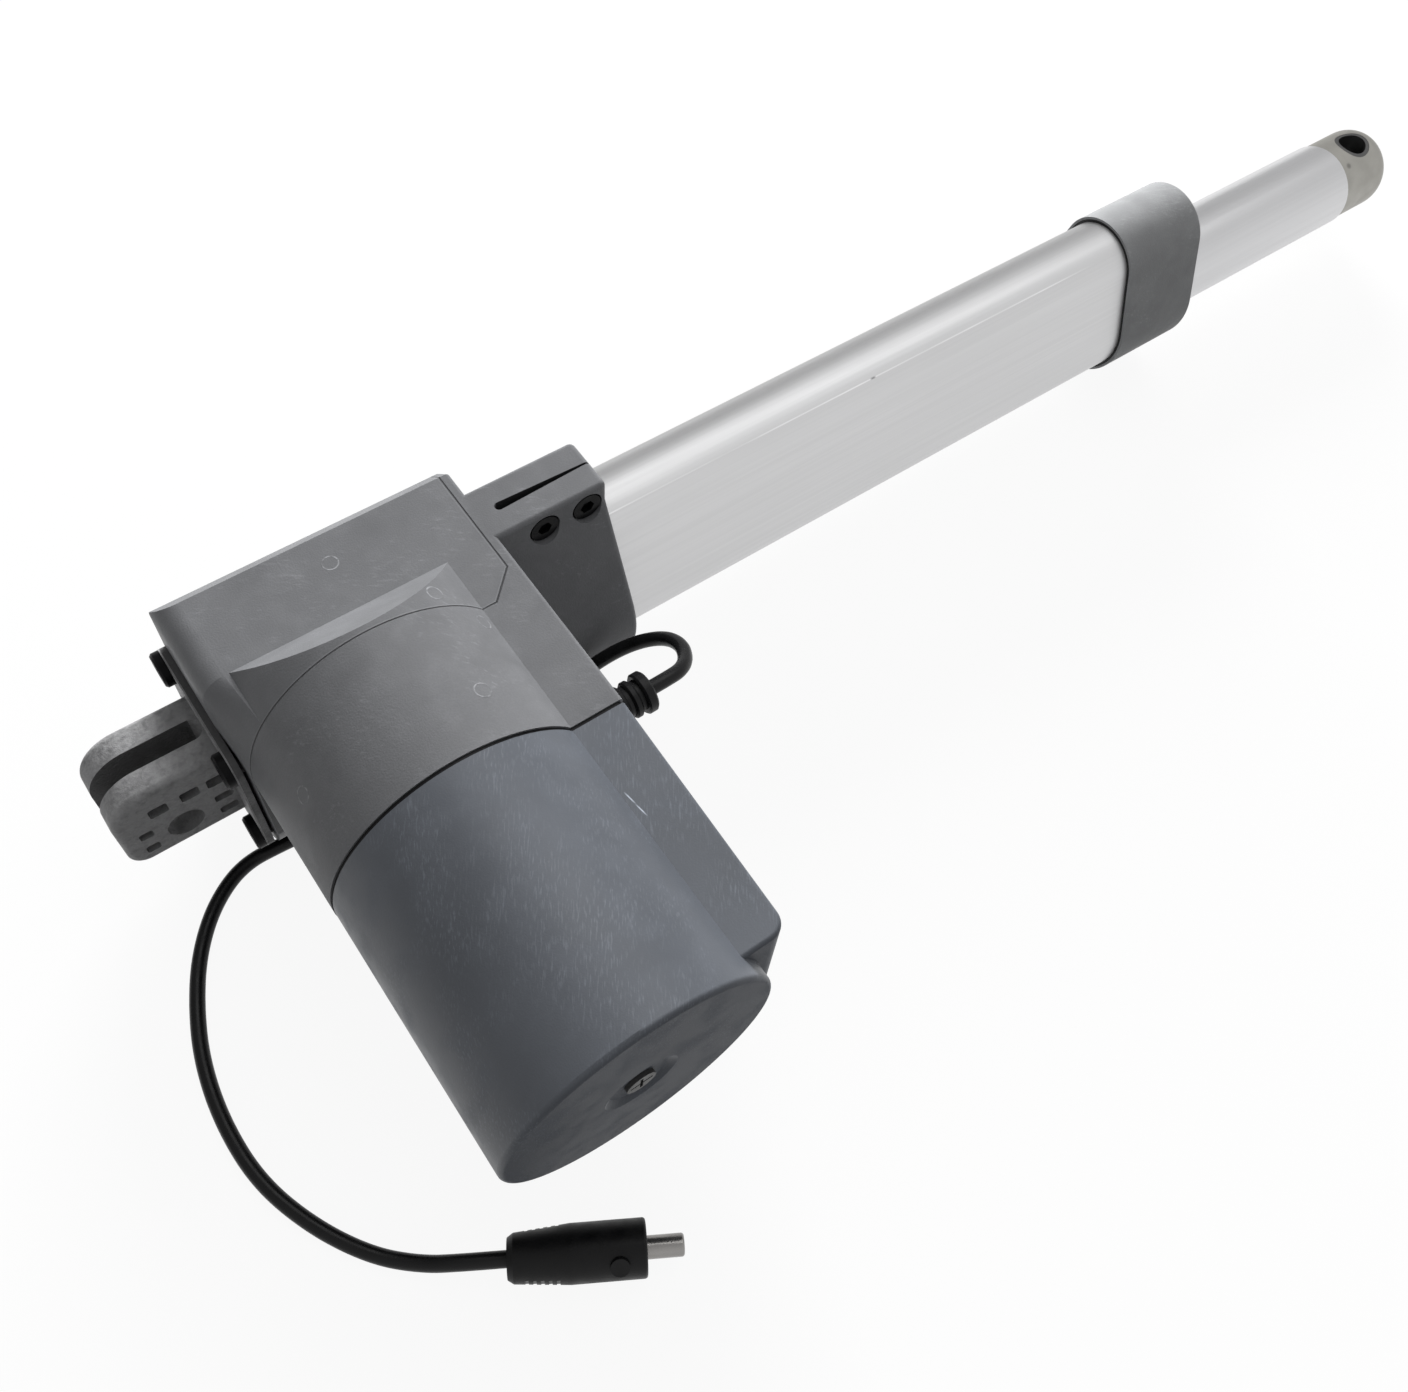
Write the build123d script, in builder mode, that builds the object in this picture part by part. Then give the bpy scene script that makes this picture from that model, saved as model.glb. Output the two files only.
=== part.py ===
"""Electric linear actuator: worm gear case, side motor, pear-section tube and lifting rod.

Millimetres. +X runs along the lifting rod, +Y points away from the motor, +Z is up.
The origin is the centre of the rear pivot hole, on the axis of the rod.
"""

import math
import os

from build123d import *

os.makedirs("parts", exist_ok=True)

# Running and seat clearances
running_gap = 0.05
seat_gap = 0.02
slide_gap = 0.3

# Pivots
pivot_bore_r = 5.1
rear_pivot_to_case = 17.3
rest_pivot_distance = 477.3
stroke_in = 80.0
stroke_out = 120.0

# Gear case, seen along the rod
case_top_z = 50.0
case_near_y = -26.0
case_far_y = 22.4
case_far_chamfer = 5.6
case_round_r = 26.0
case_rear_fillet = 7.0
case_rear_margin = 1.2
rear_wall = 19.5

# Front housing
front_wall = 3.0
neck_length = 34.0
neck_half_width = 8.8
neck_band_z = 42.5
neck_rim_fillet = 1.8
neck_top_fillet = 1.5
slit_root_half = 1.3
slit_mouth_half = 0.25
slit_past_screw = 3.8
socket_floor = 5.5

# Motor side
gear_centre_distance = 28.0
collar_r = 37.5
collar_end_y = -66.9
shoulder_run = 2.0
box_beyond_collar = 8.0
box_half_height = 22.0
box_corner_r = 1.2
box_end_corner_r = 5.0
box_draft = 1.6
motor_seal = 1.0
seal_inset = 0.6
motor_end_y = -143.0
motor_box_setback = 5.5
cover_inset = 0.15
cover_wall = 3.0
cover_end_wall = 3.0
cover_end_fillet = 1.5
end_recess_r = 10.0
end_recess_depth = 1.2
cover_screw_r = 2.0

# Lifting tube section
tube_r = 19.8
lobe_r = 13.4
lobe_z = 22.8
tube_wall = 2.3
tube_end_from_pivot = 349.0

# End cap at the front of the tube
cap_wall = 1.7
cap_length = 33.8
cap_overlap = 9.8
cap_edge_fillet = 1.0
cap_seal_width = 0.9
guide_r = 17.2
wiper_length = 4.0
wiper_r = 18.2

# Rod, eye and bush
rod_r = 15.0
rod_wall = 2.0
eye_r = 14.4
eye_head_length = 26.8
eye_end_fillet = 8.0
eye_bore_from_shoulder = 12.8
eye_spigot_length = 24.0
bush_wall = 1.4

# Spindle and its bearings
spindle_r = 7.0
journal_r = 6.0
bearing_r = 16.0
bearing_width = 10.0
inner_race_r = 8.6
outer_race_inner_r = 12.2
journal_past_bearing = 8.0
spindle_end_setback = 11.0
front_bearing_setback = 26.5
end_disc_length = 4.0
wall_bore_r = 9.0

# Worm drive
gear_module = 1.25
wheel_teeth = 30
pressure_angle = 20.0
tooth_backlash = 0.4
worm_turns = 7
wheel_width = 12.0
hub_r = 8.6
chamber_r = 20.7
worm_length = 22.0
worm_chamber_r = 11.5

# Nut and slider
nut_length = 15.0
nut_collar = 4.0
nut_boss_r = 11.0
slider_length = 10.0
slider_tab_half_width = 5.0
slider_tab_z = 24.0

# Limit switch strip
strip_before_nut = 2.0
strip_past_slider = 8.0
strip_half_width = 5.5
strip_z = 30.5
strip_thickness = 1.6
switch_length = 12.8
switch_half_width = 2.9
switch_height = 5.8

# Motor inside
shaft_r = 4.0
yoke_play = 2.85
yoke_wall = 2.5
motor_plate_y = -34.0
motor_plate_thickness = 8.0
yoke_end_setback = 15.0
bell_thickness = 6.0
motor_bearing_r = 11.0
motor_bearing_width = 7.0
tip_bush_r = 6.5
tip_bush_start_y = 13.0
tip_bush_length = 6.5
magnet_thickness = 6.5
air_gap = 0.9
magnet_gap = 30.0
core_start_y = -56.0
core_slots = 12
slot_width = 3.4
slot_depth = 9.0
tooth_tip = 1.6
slot_mouth = 1.4
winding_overhang = 7.0
commutator_r = 10.0
commutator_past_winding = 1.0
brush_holder_thickness = 2.5
brush_holder_play = 0.5
commutator_length = 11.0
brush_width = 6.0
brush_height = 5.0
brush_length = 9.0

# Rear fixture, a fork on a square plate
plate_thickness = 2.2
plate_half_width = 23.0
plate_mid_z = 8.0
plate_half_height = 23.5
plate_corner_r = 5.5
fork_half_width = 11.0
fork_slot_half = 3.2
fork_top_z = 22.0
fork_bottom_z = -9.5
fork_reach = 17.0
fork_top_r = 12.0
fork_heel_r = 5.5
fork_edge_fillet = 2.0
pocket_depth = 2.2
pocket_wide = 5.2
pocket_tall = 4.2
rib_pocket_tall = 3.0
heel_pocket_wide = 3.8
heel_pocket_tall = 3.2

# Fasteners
plate_screw_y = 18.0
plate_screw_z = 18.0
plate_screw_r = 2.5
plate_screw_length = 15.0
plate_head_r = 5.0
plate_head_height = 2.6
plate_head_chamfer = 0.6
clamp_screw_z = 43.8
clamp_screw_front = 6.5
clamp_screw_pitch = 13.5
clamp_screw_r = 2.5
clamp_head_r = 4.25
clamp_recess_r = 4.7
clamp_seat_y = 4.6
clamp_nut_r = 4.5
hex_key_r = 2.2
hex_key_depth = 1.8

# Cable gland, cable and plug
gland_y = -58.0
gland_half = 8.2
gland_corner_r = 3.0
gland_flange = 3.0
gland_stem_r = 4.5
relief_r = 4.4
relief_collar_r = 5.9
relief_rib_r = 5.3
relief_rib_width = 2.2
relief_gap = 1.3
cable_r = 2.1
floor_z = -case_round_r
plug_back_r = 5.9
plug_front_r = 7.1
plug_length = 34.0
barrel_r = 2.8
barrel_length = 9.3
barrel_hole_r = 1.3
plug_nub_r = 2.4
plug_nub_height = 1.0
plug_nub_place = 0.8
plug_nub_turn = 40.0
plug_groove_count = 5
plug_groove_start = 4.2
plug_groove_pitch = 1.9
plug_groove_width = 0.9
plug_groove_depth = 0.5
plug_groove_height = 7.0

# Places worked out from the sizes above
case_rear_x = rear_pivot_to_case
motor_x = case_rear_x + case_rear_margin + collar_r
box_reach = collar_r + box_beyond_collar
front_x = motor_x + box_reach
split_x = front_x - front_wall
case_length = split_x - case_rear_x
neck_end_x = front_x + neck_length
motor_z = gear_centre_distance
tube_start_x = split_x + socket_floor
motor_box_end_y = motor_end_y + motor_box_setback
yoke_end_y = motor_end_y + yoke_end_setback
commutator_start_y = yoke_end_y + brush_holder_play + brush_holder_thickness + commutator_length
core_end_y = commutator_start_y + commutator_past_winding + winding_overhang
core_length = core_start_y - core_end_y
cap_start_x = tube_end_from_pivot - cap_overlap
cap_end_x = cap_start_x + cap_length
eye_x = rest_pivot_distance
rod_end_x = eye_x - eye_bore_from_shoulder
wheel_pitch_r = gear_module * wheel_teeth / 2
wheel_tip_r = wheel_pitch_r + gear_module
tooth_root_depth = 1.25 * gear_module
worm_pitch_r = gear_centre_distance - wheel_pitch_r
worm_tip_r = worm_pitch_r + gear_module
worm_root_r = worm_pitch_r - tooth_root_depth
worm_lead = math.pi * gear_module
worm_lead_angle = math.atan(worm_lead / (2 * math.pi * worm_pitch_r))
flank_slope = math.tan(math.radians(pressure_angle))
rear_race_x = case_rear_x + rear_wall - bearing_width
hub_start_x = rear_race_x + bearing_width
front_race_x = split_x - front_bearing_setback
spindle_shoulder_x = front_race_x + bearing_width + journal_past_bearing
spindle_end_x = tube_end_from_pivot - spindle_end_setback
nut_x = tube_start_x + 3.5 + stroke_in
collar_x = nut_x + slider_length
rod_start_x = collar_x + nut_collar
plate_x = case_rear_x - plate_thickness
bush_r = pivot_bore_r + bush_wall
cover_start_y = collar_end_y - motor_seal
yoke_r = collar_r - cover_inset - cover_wall - yoke_play
magnet_inner_r = yoke_r - yoke_wall - magnet_thickness
core_r = magnet_inner_r - air_gap


def pear(grow):
    """Section of the lifting tube: the hull of two circles, grown all round."""
    Circle(tube_r + grow)
    with Locations((0, lobe_z)):
        Circle(lobe_r + grow)
    make_hull()


def case_outline():
    """Section of the gear case across the rod: flat top, chamfered far side, round foot."""
    far_foot_z = -math.sqrt(case_round_r**2 - case_far_y**2)
    with BuildLine() as outline:
        Polyline(
            (case_near_y, 0),
            (case_near_y, case_top_z),
            (case_far_y - case_far_chamfer, case_top_z),
            (case_far_y, case_top_z - case_far_chamfer),
            (case_far_y, far_foot_z),
        )
        ThreePointArc((case_far_y, far_foot_z), (0, -case_round_r), (case_near_y, 0))
    make_face(outline.edges())


def neck_outline():
    """Section of the clamp neck: round foot, sloping flanks and a narrow head."""
    Circle(case_round_r)
    with Locations((0, neck_band_z - 1)):
        Rectangle(2 * neck_half_width, 2)
    make_hull()
    with Locations((0, case_top_z / 2)):
        Rectangle(2 * neck_half_width, case_top_z)


def motor_outline(inset):
    """Section of the motor side: a round barrel with a box along its front."""
    with Locations((motor_x, motor_z)):
        Circle(collar_r - inset)
    reach = box_reach - inset
    with Locations((motor_x + reach / 2, motor_z)):
        RectangleRounded(reach, 2 * (box_half_height - inset), box_corner_r)


def barrel(radius, y_high, y_low):
    """Cylinder about the motor axis between two places along Y."""
    with BuildSketch(Plane.XZ.offset(-y_high)) as disc:
        with Locations((motor_x, motor_z)):
            Circle(radius)
    extrude(disc.sketch, amount=y_high - y_low)


def ring_on_motor_axis(outer, inner, y_high, y_low):
    """Ring about the motor axis between two places along Y."""
    with BuildSketch(Plane.XZ.offset(-y_high)) as ring:
        with Locations((motor_x, motor_z)):
            Circle(outer)
            Circle(inner, mode=Mode.SUBTRACT)
    extrude(ring.sketch, amount=y_high - y_low)


def ring_on_rod_axis(outer, inner, x_low, x_high):
    """Ring about the rod axis between two places along X."""
    with BuildSketch(Plane.YZ.offset(x_low)) as ring:
        Circle(outer)
        if inner > 0:
            Circle(inner, mode=Mode.SUBTRACT)
    extrude(ring.sketch, amount=x_high - x_low)


def bore_on_rod_axis(radius, x_low, x_high):
    """Round hole about the rod axis between two places along X."""
    with BuildSketch(Plane.YZ.offset(x_low)) as disc:
        Circle(radius)
    extrude(disc.sketch, amount=x_high - x_low, mode=Mode.SUBTRACT)


def bore_on_motor_axis(radius, y_high, y_low):
    """Round hole about the motor axis between two places along Y."""
    with BuildSketch(Plane.XZ.offset(-y_high)) as disc:
        with Locations((motor_x, motor_z)):
            Circle(radius)
    extrude(disc.sketch, amount=y_high - y_low, mode=Mode.SUBTRACT)


def save(name, builder):
    """Label one finished piece and write its file."""
    builder.part.label = name
    export_step(builder.part, f"parts/{name}.step")


# Gear case: a block over the worm wheel with a shoulder that rises to the motor collar
shoulder_top_y = case_near_y + shoulder_run
shoulder_foot_y = shoulder_top_y + collar_r - box_half_height
plate_screw_places = [
    (side * plate_screw_y, plate_mid_z + level * plate_screw_z)
    for side in (-1, 1)
    for level in (-1, 1)
]
collar_rear_x = motor_x - collar_r
collar_crest_x = motor_x - math.sqrt(collar_r**2 - box_half_height**2)
case_foot_z = -case_round_r


def case_side(y, rear_x, arc_foot_z, arc_head_x, arc_middle):
    """Side section of the gear case at one place along Y, with a round rear top corner."""
    with BuildSketch(Plane.XZ.offset(-y)) as section:
        with BuildLine() as rim:
            Line((rear_x, case_foot_z), (rear_x, arc_foot_z))
            ThreePointArc((rear_x, arc_foot_z), arc_middle, (arc_head_x, case_top_z))
            Polyline(
                (arc_head_x, case_top_z),
                (split_x, case_top_z),
                (split_x, case_foot_z),
                (rear_x, case_foot_z),
            )
        make_face(rim.edges())
    return section.sketch


half_turn_corner = math.sqrt(0.5)
block_corner_middle = (
    case_rear_x + case_rear_fillet * (1 - half_turn_corner),
    case_top_z - case_rear_fillet * (1 - half_turn_corner),
)
collar_corner_angle = math.asin(box_half_height / collar_r) / 2
collar_corner_middle = (
    motor_x - collar_r * math.cos(collar_corner_angle),
    motor_z + collar_r * math.sin(collar_corner_angle),
)
block_sizes = (
    case_rear_x,
    case_top_z - case_rear_fillet,
    case_rear_x + case_rear_fillet,
    block_corner_middle,
)
collar_sizes = (collar_rear_x, motor_z, collar_crest_x, collar_corner_middle)

with BuildPart() as shoulder:
    barrel(collar_r, shoulder_foot_y, case_near_y)
    with BuildSketch(Plane.YZ.offset(case_rear_x - case_length)):
        with BuildLine():
            Polyline(
                (case_near_y, motor_z - collar_r),
                (shoulder_top_y, motor_z - collar_r),
                (shoulder_foot_y, motor_z - box_half_height),
                (shoulder_foot_y, motor_z + box_half_height),
                (shoulder_top_y, motor_z + collar_r),
                (case_near_y, motor_z + collar_r),
                close=True,
            )
        make_face()
    extrude(amount=3 * case_length, mode=Mode.INTERSECT)

with BuildPart() as gear_case:
    extrude(case_side(case_far_y, *block_sizes), amount=case_far_y - shoulder_foot_y)
    loft([case_side(shoulder_foot_y, *block_sizes), case_side(case_near_y, *collar_sizes)], ruled=True)
    with BuildSketch(Plane.YZ.offset(case_rear_x)):
        case_outline()
    extrude(amount=case_length, mode=Mode.INTERSECT)
    add(shoulder.part)
    bore_on_rod_axis(chamber_r, hub_start_x, split_x)
    bore_on_rod_axis(bearing_r + seat_gap, rear_race_x, hub_start_x)
    bore_on_motor_axis(worm_chamber_r, tip_bush_start_y, case_near_y)
    bore_on_motor_axis(tip_bush_r + seat_gap, tip_bush_start_y + tip_bush_length, tip_bush_start_y)
    with BuildSketch(Plane.YZ.offset(case_rear_x)):
        with Locations(*plate_screw_places):
            Circle(plate_screw_r + seat_gap)
    extrude(amount=plate_screw_length - plate_thickness + 1, mode=Mode.SUBTRACT)
save("gear_case", gear_case)

# Front housing: front wall, clamp neck, bearing spigot and the motor collar in one casting
clamp_xs = [neck_end_x - clamp_screw_front - i * clamp_screw_pitch for i in range(2)]
with BuildPart() as front_housing:
    with BuildSketch(Plane.YZ.offset(split_x)):
        case_outline()
    extrude(amount=front_wall)
    wall_rim = front_housing.edges().filter_by(
        lambda e: e.center().X > front_x - 0.01 and e.center().Z > motor_z / 2
    )
    fillet(wall_rim.filter_by(lambda e: e.center().Y > case_near_y + 1), box_corner_r)
    with BuildSketch(Plane.XZ.offset(-case_near_y)):
        motor_outline(0)
    extrude(amount=case_near_y - collar_end_y)
    with BuildSketch(Plane.YZ.offset(front_x - box_corner_r)):
        neck_outline()
    extrude(amount=neck_length + box_corner_r)
    head_edges = front_housing.edges().filter_by(Axis.X).filter_by(
        lambda e: e.center().X > front_x and e.center().Z > case_top_z - 0.01
    )
    fillet(head_edges, neck_top_fillet)
    neck_rim = front_housing.edges().filter_by(lambda e: e.center().X > neck_end_x - 0.01)
    fillet(neck_rim, neck_rim_fillet)
    ring_on_rod_axis(chamber_r - seat_gap, wall_bore_r, front_race_x, split_x)
    # Motor cavity and the passage for the worm
    with BuildSketch(Plane.XZ.offset(-motor_plate_y)):
        motor_outline(cover_wall)
    extrude(amount=motor_plate_y - collar_end_y, mode=Mode.SUBTRACT)
    bore_on_motor_axis(worm_chamber_r, case_near_y, motor_plate_y)
    # Tube socket, spindle passage and bearing seat
    with BuildSketch(Plane.YZ.offset(tube_start_x)):
        pear(seat_gap)
    extrude(amount=neck_end_x - tube_start_x, mode=Mode.SUBTRACT)
    bore_on_rod_axis(wall_bore_r, front_race_x, tube_start_x)
    bore_on_rod_axis(bearing_r + seat_gap, front_race_x, front_race_x + bearing_width)
    # Clamp slit, wide at its root
    slit_root_x = clamp_xs[1] - clamp_recess_r - slit_past_screw
    with BuildSketch(Plane.XY.offset(lobe_z + lobe_r - 1)):
        with BuildLine():
            Line((neck_end_x, slit_mouth_half), (slit_root_x, slit_root_half))
            ThreePointArc(
                (slit_root_x, slit_root_half),
                (slit_root_x - slit_root_half, 0),
                (slit_root_x, -slit_root_half),
            )
            Line((slit_root_x, -slit_root_half), (neck_end_x, -slit_mouth_half))
            Line((neck_end_x, -slit_mouth_half), (neck_end_x, slit_mouth_half))
        make_face()
    extrude(amount=case_top_z, mode=Mode.SUBTRACT)
    # Clamp screw holes with round recesses on the near side and hexagons on the far side
    for clamp_x in clamp_xs:
        with BuildSketch(Plane.XZ.offset(case_near_y)):
            with Locations((clamp_x, clamp_screw_z)):
                Circle(clamp_screw_r + seat_gap)
        extrude(amount=2 * case_round_r, mode=Mode.SUBTRACT)
        with BuildSketch(Plane.XZ.offset(clamp_seat_y)):
            with Locations((clamp_x, clamp_screw_z)):
                Circle(clamp_recess_r)
        extrude(amount=case_round_r, mode=Mode.SUBTRACT)
        with BuildSketch(Plane.XZ.offset(-clamp_seat_y)):
            with Locations((clamp_x, clamp_screw_z)):
                RegularPolygon(clamp_nut_r + seat_gap, 6, rotation=30)
        extrude(amount=-case_round_r, mode=Mode.SUBTRACT)
    # Hole for the cable gland's stem
    with BuildSketch(Plane.YZ.offset(front_x)):
        with Locations((gland_y, motor_z)):
            Circle(gland_stem_r + seat_gap)
    extrude(amount=-2 * cover_wall, mode=Mode.SUBTRACT)
save("front_housing", front_housing)

# Seal between the collar and the motor cover
with BuildPart() as motor_gasket:
    with BuildSketch(Plane.XZ.offset(-collar_end_y)):
        motor_outline(seal_inset)
    extrude(amount=motor_seal)
    with BuildSketch(Plane.XZ.offset(-collar_end_y)):
        motor_outline(cover_wall)
    extrude(amount=motor_seal, mode=Mode.SUBTRACT)
save("motor_gasket", motor_gasket)

# Motor cover: a deep cup with a shorter box along its front
cover_box_reach = box_reach - cover_inset
cover_box_half = box_half_height - cover_inset
cover_front_x = motor_x + cover_box_reach
with BuildPart() as motor_cover:
    with BuildSketch(Plane.XY.offset(motor_z - cover_box_half)):
        with BuildLine():
            end_x = cover_front_x - box_draft
            Line((motor_x, motor_box_end_y), (motor_x, cover_start_y))
            Line((motor_x, cover_start_y), (cover_front_x, cover_start_y))
            Line((cover_front_x, cover_start_y), (end_x, motor_box_end_y + box_end_corner_r))
            Line((end_x - box_end_corner_r, motor_box_end_y), (motor_x, motor_box_end_y))
            CenterArc(
                (end_x - box_end_corner_r, motor_box_end_y + box_end_corner_r), box_end_corner_r, -90, 90
            )
        make_face()
    extrude(amount=2 * cover_box_half)
    box_rim = motor_cover.faces().filter_by(Axis.Z).edges().filter_by(lambda e: e.center().X > motor_x + 1)
    fillet(box_rim.filter_by(lambda e: e.center().Y < cover_start_y - 1), box_corner_r)
    barrel(collar_r - cover_inset, cover_start_y, motor_end_y)
    end_edge = motor_cover.faces().sort_by(Axis.Y)[0].edges()
    fillet(end_edge, cover_end_fillet)
    bore_on_motor_axis(collar_r - cover_inset - cover_wall, cover_start_y, motor_end_y + cover_end_wall)
    with BuildSketch(Plane.XZ.offset(-cover_start_y)):
        hollow_reach = cover_box_reach - box_draft - cover_wall
        with Locations((motor_x + hollow_reach / 2, motor_z)):
            Rectangle(hollow_reach, 2 * (cover_box_half - cover_wall))
    extrude(amount=cover_start_y - motor_box_end_y - cover_end_wall, mode=Mode.SUBTRACT)
    with BuildSketch(Plane.XZ.offset(-motor_end_y)):
        with Locations((motor_x, motor_z)):
            Circle(end_recess_r)
    extrude(amount=-end_recess_depth, taper=60, mode=Mode.SUBTRACT)
    bore_on_motor_axis(cover_screw_r + seat_gap, motor_end_y + cover_end_wall, motor_end_y)
save("motor_cover", motor_cover)

# Screw at the middle of the motor cover's end
cover_screw_seat_y = motor_end_y + end_recess_depth
bell_end_y = yoke_end_y - bell_thickness
with BuildPart() as cover_screw:
    barrel(2 * cover_screw_r, cover_screw_seat_y, motor_end_y)
    barrel(cover_screw_r, bell_end_y + bell_thickness / 2, cover_screw_seat_y)
    with BuildSketch(Plane.XZ.offset(-motor_end_y)):
        with Locations((motor_x, motor_z)):
            Rectangle(3 * cover_screw_r, 0.8)
            Rectangle(0.8, 3 * cover_screw_r)
    extrude(amount=-0.7, mode=Mode.SUBTRACT)
save("cover_screw", cover_screw)

# Motor stator: front plate, yoke, magnets, rear bell and bearings
motor_plate_end_y = motor_plate_y - motor_plate_thickness
with BuildPart() as motor_front_plate:
    ring_on_motor_axis(yoke_r, shaft_r + 1, motor_plate_y, motor_plate_end_y)
    bearing_top_y = motor_plate_end_y + motor_bearing_width
    bore_on_motor_axis(motor_bearing_r + seat_gap, bearing_top_y, motor_plate_end_y)
save("motor_front_plate", motor_front_plate)

with BuildPart() as motor_front_bearing:
    ring_on_motor_axis(
        motor_bearing_r,
        shaft_r + running_gap,
        motor_plate_end_y + motor_bearing_width,
        motor_plate_end_y,
    )
save("motor_front_bearing", motor_front_bearing)

with BuildPart() as motor_yoke:
    ring_on_motor_axis(yoke_r, yoke_r - yoke_wall, motor_plate_end_y, yoke_end_y)
save("motor_yoke", motor_yoke)

with BuildPart() as motor_magnets:
    with BuildSketch(Plane.XZ.offset(-core_start_y)):
        with Locations((motor_x, motor_z)):
            Circle(yoke_r - yoke_wall - seat_gap)
            Circle(magnet_inner_r, mode=Mode.SUBTRACT)
            Rectangle(magnet_gap, 2 * yoke_r, mode=Mode.SUBTRACT)
    extrude(amount=core_length)
save("motor_magnets", motor_magnets)

with BuildPart() as motor_rear_bell:
    ring_on_motor_axis(yoke_r, tip_bush_r + seat_gap, yoke_end_y, bell_end_y)
    with BuildSketch(Plane.XZ.offset(-bell_end_y)):
        with Locations((motor_x, motor_z)):
            Circle(tip_bush_r + seat_gap)
    extrude(amount=-1)
    bore_on_motor_axis(cover_screw_r + seat_gap, bell_end_y + bell_thickness / 2, bell_end_y)
save("motor_rear_bell", motor_rear_bell)

with BuildPart() as motor_rear_bush:
    ring_on_motor_axis(tip_bush_r, shaft_r + running_gap, yoke_end_y, bell_end_y + bell_thickness / 2)
save("motor_rear_bush", motor_rear_bush)

with BuildPart() as worm_tip_bush:
    ring_on_motor_axis(
        tip_bush_r,
        shaft_r + running_gap,
        tip_bush_start_y + tip_bush_length,
        tip_bush_start_y,
    )
save("worm_tip_bush", worm_tip_bush)

brush_start_r = commutator_r + slide_gap
with BuildPart() as brush_holder:
    holder_y = commutator_start_y - commutator_length
    ring_on_motor_axis(yoke_r - yoke_wall - seat_gap, commutator_r + 2, holder_y, holder_y - brush_holder_thickness)
save("brush_holder", brush_holder)

with BuildPart() as brushes:
    with BuildSketch(Plane.XZ.offset(-(commutator_start_y - commutator_length + brush_width))):
        for side in (-1, 1):
            with Locations((motor_x + side * (brush_start_r + brush_length / 2), motor_z)):
                Rectangle(brush_length, brush_height)
    extrude(amount=brush_width)
save("brushes", brushes)

# Worm thread: one right-hand start, a crest facing the wheel at the middle of its length
thread_start = (motor_x, -worm_turns * worm_lead / 2, motor_z)
thread_half = worm_lead / 4 - tooth_backlash / 4
thread_foot = -tooth_root_depth - 0.3
with BuildPart() as worm_thread:
    with BuildLine() as thread_path:
        Helix(worm_lead, worm_turns * worm_lead, worm_pitch_r, center=thread_start, direction=(0, 1, 0))
    start = thread_path.wire() @ 0
    start_direction = thread_path.wire() % 0
    outward = (start - Vector(*thread_start)).normalized()
    with BuildSketch(Plane(origin=start, x_dir=outward, z_dir=start_direction)):
        with BuildLine():
            Polyline(
                (thread_foot, -thread_half + flank_slope * thread_foot),
                (gear_module, -thread_half + flank_slope * gear_module),
                (gear_module, thread_half - flank_slope * gear_module),
                (thread_foot, thread_half - flank_slope * thread_foot),
                close=True,
            )
        make_face()
    sweep(path=thread_path.wire(), is_frenet=True)

# Motor rotor: shaft with the worm, laminated core, windings and commutator
with BuildPart() as worm_shaft:
    barrel(worm_tip_r + 1, worm_length / 2, -worm_length / 2)
    add(worm_thread.part, mode=Mode.INTERSECT)
    barrel(worm_root_r, worm_length / 2, -worm_length / 2)
    barrel(shaft_r, tip_bush_start_y + tip_bush_length - 0.5, yoke_end_y - 2)
    chamfer(worm_shaft.edges().filter_by(GeomType.CIRCLE).sort_by(Axis.Y)[-1], 0.5)
save("worm_shaft", worm_shaft)

with BuildPart() as armature_core:
    with BuildSketch(Plane.XZ.offset(-core_start_y)):
        with Locations((motor_x, motor_z)):
            Circle(core_r)
            with PolarLocations(core_r - tooth_tip - slot_depth / 2, core_slots):
                Rectangle(slot_depth, slot_width, mode=Mode.SUBTRACT)
            with PolarLocations(core_r, core_slots):
                Rectangle(3 * tooth_tip, slot_mouth, mode=Mode.SUBTRACT)
            Circle(shaft_r + seat_gap, mode=Mode.SUBTRACT)
    extrude(amount=core_length)
save("armature_core", armature_core)

winding_r = core_r - tooth_tip - 0.5
with BuildPart() as armature_windings:
    ring_on_motor_axis(winding_r, shaft_r + 2, core_start_y + winding_overhang, core_start_y)
    ring_on_motor_axis(winding_r, shaft_r + 2, core_end_y, core_end_y - winding_overhang)
    outer_rims = armature_windings.edges().filter_by(GeomType.CIRCLE).filter_by(
        lambda e: e.radius > winding_r - 0.1
        and abs(e.center().Y - core_start_y + core_length / 2) > core_length / 2 + 1
    )
    chamfer(outer_rims, 2.0)
save("armature_windings", armature_windings)

with BuildPart() as commutator:
    ring_on_motor_axis(
        commutator_r,
        shaft_r + seat_gap,
        commutator_start_y,
        commutator_start_y - commutator_length,
    )
save("commutator", commutator)

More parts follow.
